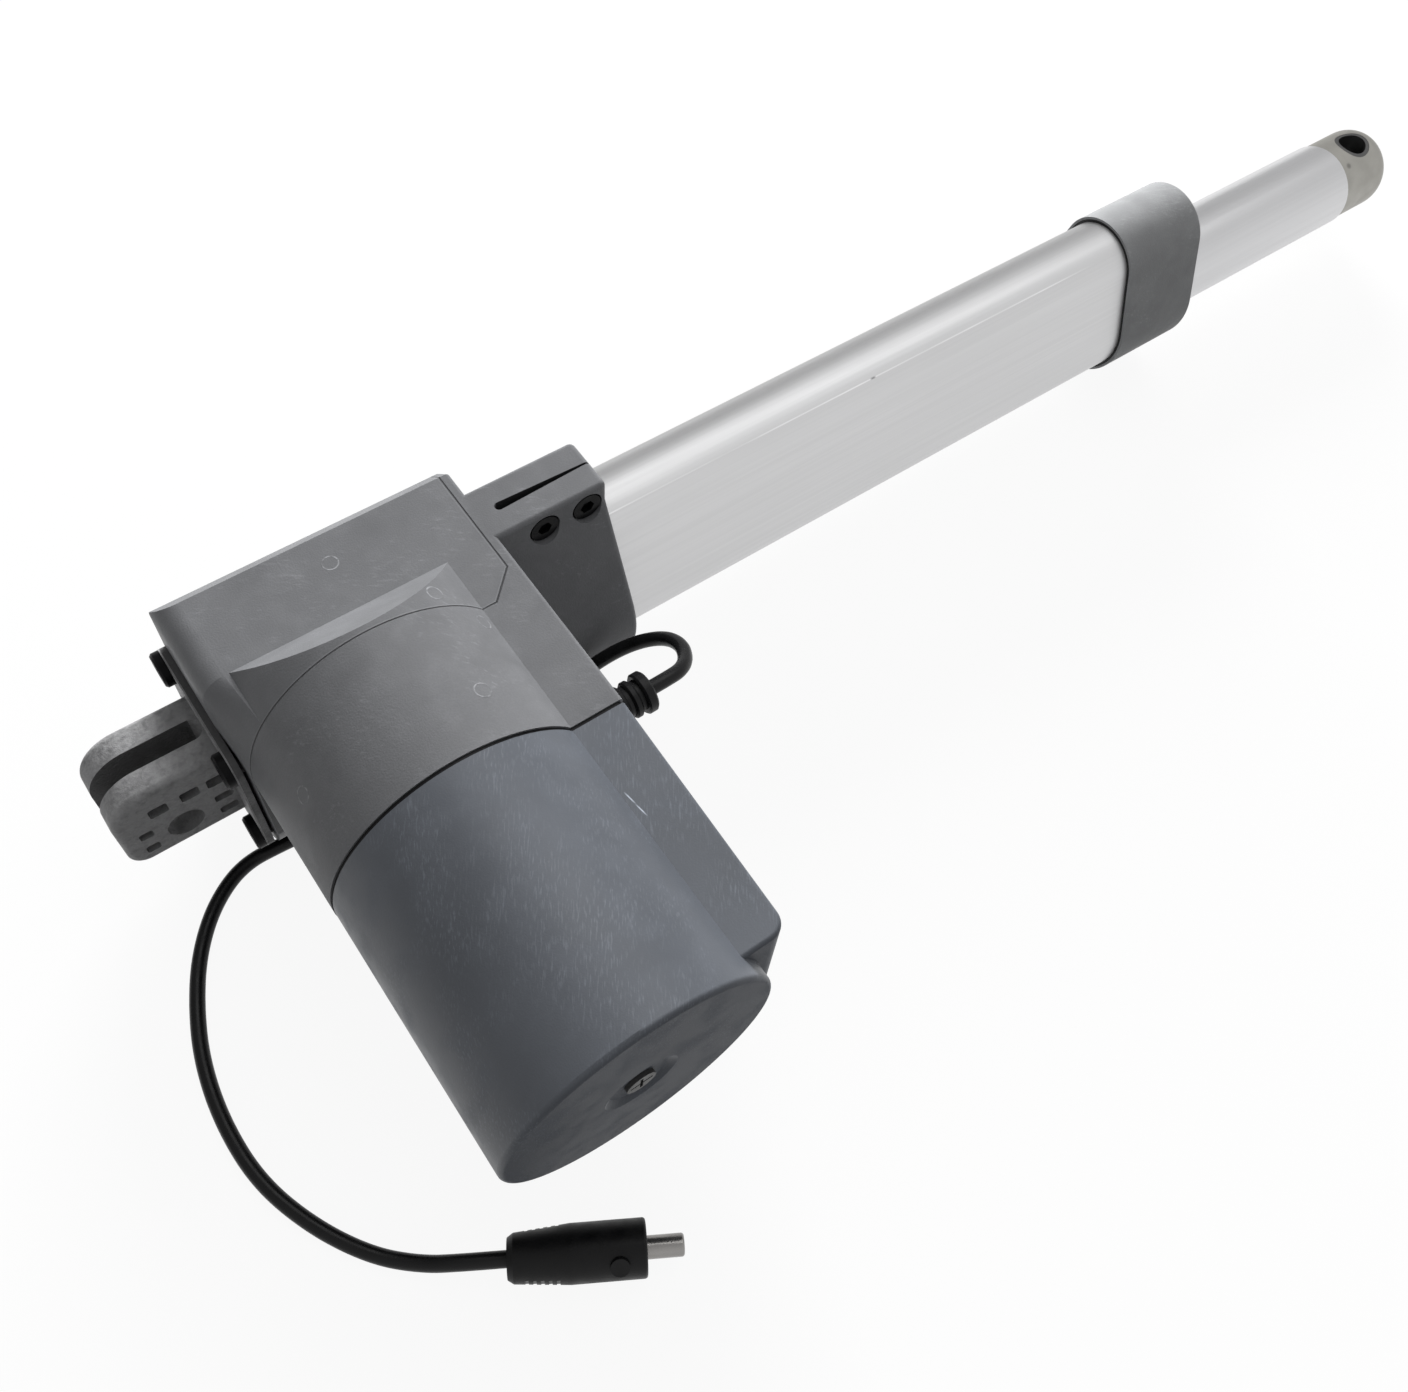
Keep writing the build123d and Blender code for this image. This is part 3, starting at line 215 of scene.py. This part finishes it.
class Finish:
    """A procedural material built up from a few named layers."""

    def __init__(self, name, colour, roughness, metallic=0.0, shine=0.5):
        self.material = bpy.data.materials.new(name)
        self.material.use_nodes = True
        self.tree = self.material.node_tree
        self.shader = self.tree.nodes["Principled BSDF"]
        self.shader.inputs["Base Color"].default_value = (*colour, 1.0)
        self.shader.inputs["Roughness"].default_value = roughness
        self.shader.inputs["Metallic"].default_value = metallic
        self.shader.inputs["Specular IOR Level"].default_value = shine
        self.colour = colour
        coordinates = self.tree.nodes.new("ShaderNodeTexCoord")
        self.place = coordinates.outputs["Object"]
        self.facing = coordinates.outputs["Normal"]
        self.normal = None

    def node(self, kind, **values):
        """New shader node with some of its properties set."""
        made = self.tree.nodes.new(kind)
        for key, value in values.items():
            setattr(made, key, value)
        return made

    def link(self, source, target):
        """Joins an output to an input."""
        self.tree.links.new(source, target)

    def calc(self, operation, *values):
        """Result of a sum, each value a number or an output."""
        made = self.node("ShaderNodeMath", operation=operation)
        for socket, value in zip(made.inputs, values):
            if isinstance(value, (int, float)):
                socket.default_value = value
            else:
                self.link(value, socket)
        return made.outputs["Value"]

    def along(self, direction, origin=(0.0, 0.0, 0.0)):
        """Distance in metres from a place along a direction."""
        shifted = self.node("ShaderNodeVectorMath", operation="SUBTRACT")
        self.link(self.place, shifted.inputs[0])
        shifted.inputs[1].default_value = origin
        dot = self.node("ShaderNodeVectorMath", operation="DOT_PRODUCT")
        self.link(shifted.outputs["Vector"], dot.inputs[0])
        dot.inputs[1].default_value = Vector(direction).normalized()
        return dot.outputs["Value"]

    def sideways(self):
        """How far a face points along Y, from 0 to 1."""
        split = self.node("ShaderNodeSeparateXYZ")
        self.link(self.facing, split.inputs["Vector"])
        return self.calc("ABSOLUTE", split.outputs["Y"])

    def sunk_faces(self, reach, behind_x):
        """Mask of faces along Y, within a distance of the middle plane and past a place along X."""
        flat = self.calc("GREATER_THAN", self.sideways(), flat_facing)
        inside = self.calc("LESS_THAN", self.calc("ABSOLUTE", self.along((0.0, 1.0, 0.0))), reach)
        past = self.calc("GREATER_THAN", self.along((1.0, 0.0, 0.0)), behind_x)
        return self.calc("MULTIPLY", self.calc("MULTIPLY", flat, inside), past)

    def band(self, distance, half_width):
        """Mask that is 1 where a distance is near 0 and 0 beyond the half width."""
        spread = self.node("ShaderNodeMapRange")
        spread.inputs["From Min"].default_value = half_width
        spread.inputs["From Max"].default_value = half_width / 3
        self.link(self.calc("ABSOLUTE", distance), spread.inputs["Value"])
        return spread.outputs["Result"]

    def ring(self, centre, radius, half_width):
        """Mask of a thin ring round a place."""
        reach = self.node("ShaderNodeVectorMath", operation="DISTANCE")
        self.link(self.place, reach.inputs[0])
        reach.inputs[1].default_value = centre
        return self.band(self.calc("SUBTRACT", reach.outputs["Value"], radius), half_width)

    def scratch(self, centre, direction, side, length, half_width):
        """Mask of one short straight scratch."""
        line = self.band(self.along(side, centre), half_width)
        ends = self.band(self.along(direction, centre), length)
        return self.calc("MULTIPLY", line, ends)

    def joined(self, masks):
        """Highest of several masks."""
        result = masks[0]
        for mask in masks[1:]:
            result = self.calc("MAXIMUM", result, mask)
        return result

    def noise(
        self,
        size,
        detail=4.0,
        stretch=(1.0, 1.0, 1.0),
        contrast=(0.35, 0.65),
        turn=(0.0, 0.0, 0.0),
    ):
        """Noise from 0 to 1 whose grains are about the given size in metres."""
        turned = self.node("ShaderNodeMapping")
        turned.inputs["Rotation"].default_value = turn
        self.link(self.place, turned.inputs["Vector"])
        mapping = self.node("ShaderNodeMapping")
        mapping.inputs["Scale"].default_value = stretch
        self.link(turned.outputs["Vector"], mapping.inputs["Vector"])
        texture = self.node("ShaderNodeTexNoise")
        texture.inputs["Scale"].default_value = 1.0 / size
        texture.inputs["Detail"].default_value = detail
        self.link(mapping.outputs["Vector"], texture.inputs["Vector"])
        spread = self.node("ShaderNodeMapRange")
        spread.inputs["From Min"].default_value = contrast[0]
        spread.inputs["From Max"].default_value = contrast[1]
        self.link(texture.outputs["Fac"], spread.inputs["Value"])
        return spread.outputs["Result"]

    def tint(self, mask, colour, amount):
        """Mixes a colour over the base colour where the mask is high."""
        mix = self.node("ShaderNodeMix", data_type="RGBA")
        self.link(self.calc("MULTIPLY", mask, amount), mix.inputs["Factor"])
        base = self.shader.inputs["Base Color"]
        if base.is_linked:
            self.link(base.links[0].from_socket, mix.inputs["A"])
        else:
            mix.inputs["A"].default_value = (*self.colour, 1.0)
        mix.inputs["B"].default_value = (*colour, 1.0)
        self.link(mix.outputs["Result"], base)

    def shade(self, mask, factor, amount):
        """Darkens or lightens the base colour by a factor where the mask is high."""
        self.tint(mask, tuple(min(1.0, factor * part) for part in self.colour), amount)

    def vary_roughness(self, mask, low, high):
        """Roughness runs from low to high with the mask."""
        spread = self.node("ShaderNodeMapRange")
        spread.inputs["To Min"].default_value = low
        spread.inputs["To Max"].default_value = high
        self.link(mask, spread.inputs["Value"])
        self.link(spread.outputs["Result"], self.shader.inputs["Roughness"])

    def bump(self, mask, height, strength=1.0):
        """Raises the surface by the mask, in metres."""
        bump = self.node("ShaderNodeBump")
        bump.inputs["Distance"].default_value = height
        bump.inputs["Strength"].default_value = strength
        self.link(mask, bump.inputs["Height"])
        if self.normal:
            self.link(self.normal, bump.inputs["Normal"])
        self.normal = bump.outputs["Normal"]
        self.link(self.normal, self.shader.inputs["Normal"])


def moulded_skin(finish):
    """Blotches, fine grain and faint handling marks of a moulded or painted shell."""
    blotches = finish.noise(size=0.028, detail=5.0)
    finish.shade(blotches, factor=1.25, amount=0.6)
    clouds = finish.noise(size=0.008, detail=7.0, contrast=(0.46, 0.68))
    finish.shade(clouds, factor=1.35, amount=0.4)
    stains = finish.noise(size=0.012, detail=6.0, contrast=(0.52, 0.7))
    finish.shade(stains, factor=0.8, amount=0.4)
    rubs = finish.noise(
        size=0.0009,
        detail=4.0,
        stretch=(0.3, 1.0, 1.0),
        contrast=(0.55, 0.7),
        turn=(0.0, 0.0, 0.6),
    )
    patches = finish.noise(size=0.014, detail=3.0, contrast=(0.5, 0.62))
    finish.shade(finish.calc("MULTIPLY", rubs, patches), factor=1.9, amount=0.35)
    grain = finish.noise(size=0.0005, detail=2.0)
    finish.shade(grain, factor=0.85, amount=0.3)
    finish.vary_roughness(blotches, low=0.42, high=0.58)
    finish.bump(grain, height=0.00002)


def moulded_grey(name, colour):
    """Plain moulded shell."""
    finish = Finish(name, colour, 0.5, shine=0.12)
    moulded_skin(finish)
    return finish.material


def housing_finish(name, colour):
    """Housing: moulded skin, the dark joint between its two halves with a painted highlight beside
    it, ejector marks and painted shade in the neck's screw recesses.
    """
    finish = Finish(name, colour, 0.5, shine=0.22)
    moulded_skin(finish)
    behind_split = finish.along((1.0, 0.0, 0.0), (housing_split_x, 0.0, 0.0))
    above_collar = finish.along((0.0, -1.0, 0.0), (0.0, collar_joint_y, 0.0))
    corner_cut = finish.along((1.0, -1.0, 0.0), joint_corner)
    edge = finish.calc("MAXIMUM", finish.calc("MAXIMUM", behind_split, above_collar), corner_cut)
    joint = finish.band(edge, joint_half_width)
    # Painted highlight: a thin lighter line beside the joint
    joint_highlight = finish.band(finish.calc("ADD", edge, joint_highlight_offset), joint_highlight_half_width)
    finish.shade(joint_highlight, factor=1.7, amount=0.35)
    finish.shade(joint, factor=0.3, amount=0.8)
    finish.bump(joint, height=-0.0003)
    patchy = finish.noise(size=0.0016, detail=3.0, contrast=(0.42, 0.6))
    rings = finish.joined(
        [finish.ring(centre, ejector_radius, ejector_line) for centre in ejector_places]
    )
    finish.shade(finish.calc("MULTIPLY", rings, patchy), factor=2.2, amount=0.8)
    finish.bump(rings, height=0.00004)
    # Painted shade: faces in the screw recesses on the neck's sides are darkened for the shade
    # inside them
    recess_shade = finish.sunk_faces(neck_side_reach, neck_start_x)
    finish.shade(recess_shade, factor=0.12, amount=0.85)
    return finish.material


def scratched_can(name, colour):
    """Motor can: smooth blue-grey with fine rub marks and two short scratches."""
    finish = Finish(name, colour, 0.45, shine=0.15)
    blotches = finish.noise(size=0.03, detail=5.0)
    finish.shade(blotches, factor=1.3, amount=0.6)
    clouds = finish.noise(size=0.009, detail=7.0, contrast=(0.46, 0.68))
    finish.shade(clouds, factor=1.4, amount=0.35)
    marks = finish.noise(
        size=0.0004,
        detail=3.0,
        stretch=(1.0, 0.13, 0.6),
        contrast=(0.53, 0.7),
        turn=(0.0, 0.0, 0.58),
    )
    patches = finish.noise(size=0.018, detail=3.0, contrast=(0.42, 0.62))
    finish.shade(finish.calc("MULTIPLY", marks, patches), factor=2.1, amount=0.5)
    scratches = [
        finish.scratch(centre, scratch_direction, scratch_side, scratch_length, scratch_half_width)
        for centre in scratch_places
    ]
    finish.shade(finish.joined(scratches), factor=6.0, amount=0.8)
    finish.vary_roughness(clouds, low=0.38, high=0.5)
    shine = finish.calc("SUBTRACT", can_shine_reach, finish.sideways())
    shine = finish.calc("MULTIPLY", shine, can_shine)
    finish.link(shine, finish.shader.inputs["Specular IOR Level"])
    grain = finish.noise(size=0.0005, detail=2.0)
    finish.bump(grain, height=0.00001)
    return finish.material


def raw_casting(name, colour):
    """Bare cast metal with a mottled, slightly rough skin, painted shade in the ears' pockets and
    painted shade past the plate's edge.
    """
    finish = Finish(name, colour, 0.5, shine=0.25)
    mottle = finish.noise(size=0.005, detail=6.0)
    finish.shade(mottle, factor=1.7, amount=0.6)
    stains = finish.noise(size=0.0022, detail=5.0, contrast=(0.5, 0.66))
    finish.shade(stains, factor=0.55, amount=0.5)
    pits = finish.noise(size=0.0008, detail=4.0)
    finish.shade(pits, factor=0.7, amount=0.3)
    finish.vary_roughness(mottle, low=0.4, high=0.62)
    finish.bump(pits, height=0.00006)
    # Painted shade: faces in the pockets of the ears' sides are darkened for the shade inside them
    pocket_shade = finish.sunk_faces(ear_side_reach, ears_start_x)
    finish.shade(pocket_shade, factor=0.2, amount=0.85)
    # Painted shade: faces of this finish past the plate's edge along X are darkened, where the
    # plate sits in shade
    plate_edge_shade = finish.calc("GREATER_THAN", finish.along((1.0, 0.0, 0.0)), plate_edge_x)
    finish.shade(plate_edge_shade, factor=0.35, amount=1.0)
    return finish.material


def drawn_skin(finish):
    """Lines along X and faint clouds of drawn metal, with the lines' mask as its result."""
    lines = finish.noise(size=0.0009, detail=3.0, stretch=(0.008, 1.0, 1.0))
    finish.shade(lines, factor=0.93, amount=0.4)
    clouds = finish.noise(size=0.02, detail=4.0, stretch=(0.35, 1.0, 1.0))
    finish.shade(clouds, factor=0.93, amount=0.35)
    return lines


def drawn_metal(name, colour, roughness, metallic):
    """Drawn or anodised metal with faint lines along X."""
    finish = Finish(name, colour, roughness, metallic=metallic)
    lines = drawn_skin(finish)
    finish.vary_roughness(lines, low=roughness - 0.03, high=roughness + 0.04)
    finish.bump(lines, height=0.000001)
    return finish.material


def tube_finish(name, colour):
    """Anodised tube: drawn lines, one fine raised seam along it with a painted highlight, and a
    small nick on the seam.
    """
    finish = Finish(name, colour, 0.48, metallic=0.93)
    lines = drawn_skin(finish)
    finish.vary_roughness(lines, low=0.46, high=0.52)
    # Painted highlight: the seam is lightened along a fine raised line, broken up by patchy noise
    across = finish.band(finish.along(seam_side, seam_place), seam_half_width)
    near = finish.band(finish.along((0.0, 0.0, 1.0), seam_place), seam_height_reach)
    seam = finish.calc("MULTIPLY", across, near)
    patchy = finish.noise(size=0.02, detail=3.0, stretch=(0.3, 1.0, 1.0), contrast=(0.4, 0.6))
    finish.shade(finish.calc("MULTIPLY", seam, patchy), factor=1.4, amount=0.7)
    finish.bump(seam, height=0.00002)
    nick = finish.scratch(seam_place, (1.0, 0.0, 0.0), seam_side, nick_length, nick_half_width)
    finish.shade(nick, factor=0.3, amount=0.8)
    return finish.material


def turned_skin(finish, roughness):
    """Fine uneven sheen of machined metal."""
    cloud = finish.noise(size=0.008, detail=4.0)
    finish.shade(cloud, factor=0.85, amount=0.4)
    finish.vary_roughness(cloud, low=roughness - 0.05, high=roughness + 0.08)
    grain = finish.noise(size=0.0006, detail=2.0)
    finish.bump(grain, height=0.00001)


def turned_metal(name, colour, roughness):
    """Plain machined metal."""
    finish = Finish(name, colour, roughness, metallic=0.85)
    turned_skin(finish, roughness)
    return finish.material


def eye_finish(name, colour, roughness):
    """Eye of the rod: machined metal, a small dimple painted as a dark spot of shade, and a painted
    highlight on the rim towards the rod.
    """
    finish = Finish(name, colour, roughness, metallic=0.85)
    turned_skin(finish, roughness)
    # Painted shade: a dark disc for the shaded hollow of a small dimple, with no hollow in the
    # shape
    finish.shade(finish.ring(dimple_place, 0.0, dimple_radius), factor=0.4, amount=0.7)
    # Painted highlight: a bright band on the eye's rim next to the rod
    rim_highlight = finish.band(finish.along((1.0, 0.0, 0.0), (rod_end_x, 0.0, 0.0)), eye_rim_highlight_width)
    finish.shade(rim_highlight, factor=2.1, amount=0.9)
    return finish.material


def black_rubber(name, colour, roughness, shine=0.2):
    """Black plastic or rubber with a slight uneven sheen."""
    finish = Finish(name, colour, roughness, shine=shine)
    cloud = finish.noise(size=0.004, detail=4.0)
    finish.shade(cloud, factor=1.4, amount=0.4)
    finish.vary_roughness(cloud, low=roughness - 0.06, high=roughness + 0.08)
    grain = finish.noise(size=0.0005, detail=2.0)
    finish.bump(grain, height=0.00001)
    return finish.material


def dress_nodes(cable):
    """Gives each piece its finish."""
    finishes = {
        housing_finish("housing_grey", housing_grey): ["gear_case", "front_housing"],
        scratched_can("motor_can", can_grey): ["motor_cover"],
        raw_casting("cast_grey", cast_grey): [
            "rear_fixture",
            "motor_front_plate",
            "motor_rear_bell",
        ],
        moulded_grey("cap_grey", cap_grey): ["end_cap"],
        tube_finish("anodised", tube_silver): ["outer_tube"],
        drawn_metal("rod_steel", rod_silver, 0.32, 0.85): ["inner_tube"],
        eye_finish("eye_metal", eye_grey, 0.5): ["rod_eye"],
        turned_metal("bush_metal", bush_grey, 0.4): ["eye_bush"],
        turned_metal("bearing_steel", bearing_silver, 0.3): [
            "rear_bearing_inner_race",
            "rear_bearing_outer_race",
            "rear_bearing_ball_cage",
            "front_bearing_inner_race",
            "front_bearing_outer_race",
            "front_bearing_ball_cage",
            "motor_front_bearing",
            "spindle",
            "worm_shaft",
            "motor_yoke",
            "armature_core",
            "clamp_nuts",
        ],
        turned_metal("screw_steel", screw_grey, 0.5): ["cover_screw"],
        black_rubber("black_steel", steel_black, 0.42, 0.08): ["plate_screws", "clamp_screws"],
        black_rubber("black_plastic", plastic_black, 0.4): [
            "motor_gasket",
            "cap_seal",
            "rod_wiper",
            "cable_gland",
        ],
        black_rubber("plug_plastic", plug_black, 0.42): ["plug_body"],
        turned_metal("plug_metal", plug_silver, 0.22): ["plug_barrel"],
        moulded_grey("white_plastic", plastic_white): [
            "guide_bush",
            "nut_slider",
            "spindle_end_disc",
            "worm_wheel",
            "brush_holder",
        ],
        turned_metal("bronze", bronze_brown, 0.35): [
            "spindle_nut",
            "motor_rear_bush",
            "worm_tip_bush",
        ],
        black_rubber("magnet", magnet_grey, 0.5): ["motor_magnets", "brushes"],
        turned_metal("copper", copper_red, 0.35): ["armature_windings", "commutator"],
        black_rubber("board", board_green, 0.4): ["switch_strip", "limit_switches"],
    }
    for material, names in finishes.items():
        for name in names:
            for slot in nodes[name].material_slots:
                slot.material = material
    cable.data.materials.append(black_rubber("cable_jacket", jacket_black, 0.3))


def seen_directly(tree):
    """Output that is 1 for rays from the camera and for reflections of the stage."""
    path = tree.nodes.new("ShaderNodeLightPath")
    either = tree.nodes.new("ShaderNodeMath")
    either.operation = "MAXIMUM"
    tree.links.new(path.outputs["Is Camera Ray"], either.inputs[0])
    tree.links.new(path.outputs["Is Glossy Ray"], either.inputs[1])
    return either.outputs["Value"]


def make_floor():
    """Pale floor that shows white to the camera and in reflections, and takes the shadow."""
    mesh = bpy.data.meshes.new("floor")
    corners = [(-floor_reach, -floor_reach), (floor_reach, -floor_reach)]
    corners += [(floor_reach, floor_reach), (-floor_reach, floor_reach)]
    mesh.from_pydata([(x, y, floor_z) for x, y in corners], [], [(0, 1, 2, 3)])
    floor = bpy.data.objects.new("floor", mesh)
    bpy.context.scene.collection.objects.link(floor)
    material = bpy.data.materials.new("floor")
    material.use_nodes = True
    tree = material.node_tree
    shader = tree.nodes["Principled BSDF"]
    shader.inputs["Roughness"].default_value = 0.9
    shader.inputs["Specular IOR Level"].default_value = 0.0
    direct = seen_directly(tree)
    tone = tree.nodes.new("ShaderNodeMix")
    tone.data_type = "RGBA"
    tone.inputs["A"].default_value = (floor_bounce, floor_bounce, floor_bounce, 1.0)
    tone.inputs["B"].default_value = (floor_white, floor_white, floor_white, 1.0)
    tree.links.new(direct, tone.inputs["Factor"])
    tree.links.new(tone.outputs["Result"], shader.inputs["Base Color"])
    glow = tree.nodes.new("ShaderNodeEmission")
    share = tree.nodes.new("ShaderNodeMath")
    share.operation = "MULTIPLY"
    share.inputs[1].default_value = floor_white_share
    tree.links.new(direct, share.inputs[0])
    blend = tree.nodes.new("ShaderNodeMixShader")
    tree.links.new(share.outputs["Value"], blend.inputs["Fac"])
    tree.links.new(shader.outputs["BSDF"], blend.inputs[1])
    tree.links.new(glow.outputs["Emission"], blend.inputs[2])
    tree.links.new(blend.outputs["Shader"], tree.nodes["Material Output"].inputs["Surface"])
    mesh.materials.append(material)


def area_lamp(name, place, size, power):
    """Soft rectangular lamp that points at the object."""
    data = bpy.data.lights.new(name, "AREA")
    data.shape = "RECTANGLE"
    data.size = size[0]
    data.size_y = size[1]
    data.energy = power
    lamp = bpy.data.objects.new(name, data)
    bpy.context.scene.collection.objects.link(lamp)
    lamp.location = place
    direction = Vector(lamp_aim) - Vector(place)
    lamp.rotation_euler = direction.to_track_quat("-Z", "Y").to_euler()
    return lamp


def make_light():
    """White world that reflects darker towards +Y, a key lamp from the far right and one above."""
    world = bpy.data.worlds.new("world")
    bpy.context.scene.world = world
    world.use_nodes = True
    tree = world.node_tree
    background = tree.nodes["Background"]
    background.inputs["Color"].default_value = (1.0, 1.0, 1.0, 1.0)
    strength = tree.nodes.new("ShaderNodeMapRange")
    strength.inputs["To Min"].default_value = world_light
    tree.links.new(seen_directly(tree), strength.inputs["Value"])
    tree.links.new(strength.outputs["Result"], background.inputs["Strength"])
    coordinates = tree.nodes.new("ShaderNodeTexCoord")
    direction = tree.nodes.new("ShaderNodeSeparateXYZ")
    tree.links.new(coordinates.outputs["Generated"], direction.inputs["Vector"])
    slope = tree.nodes.new("ShaderNodeMapRange")
    slope.inputs["From Min"].default_value = -world_slope_end
    slope.inputs["From Max"].default_value = world_slope_end
    slope.inputs["To Min"].default_value = world_seen_near
    slope.inputs["To Max"].default_value = world_seen_far
    tree.links.new(direction.outputs["Y"], slope.inputs["Value"])
    path = tree.nodes.new("ShaderNodeLightPath")
    seen = tree.nodes.new("ShaderNodeMath")
    seen.operation = "MAXIMUM"
    tree.links.new(slope.outputs["Result"], seen.inputs[0])
    tree.links.new(path.outputs["Is Camera Ray"], seen.inputs[1])
    tree.links.new(seen.outputs["Value"], strength.inputs["To Max"])
    key_lamp = area_lamp("key_lamp", key_place, key_size, key_power)
    key_lamp.visible_glossy = False
    area_lamp("top_lamp", top_place, top_size, top_power)


bpy.context.scene.view_settings.view_transform = "Standard"
make_camera()
cable = make_cable()
dress_nodes(cable)
make_floor()
make_light()
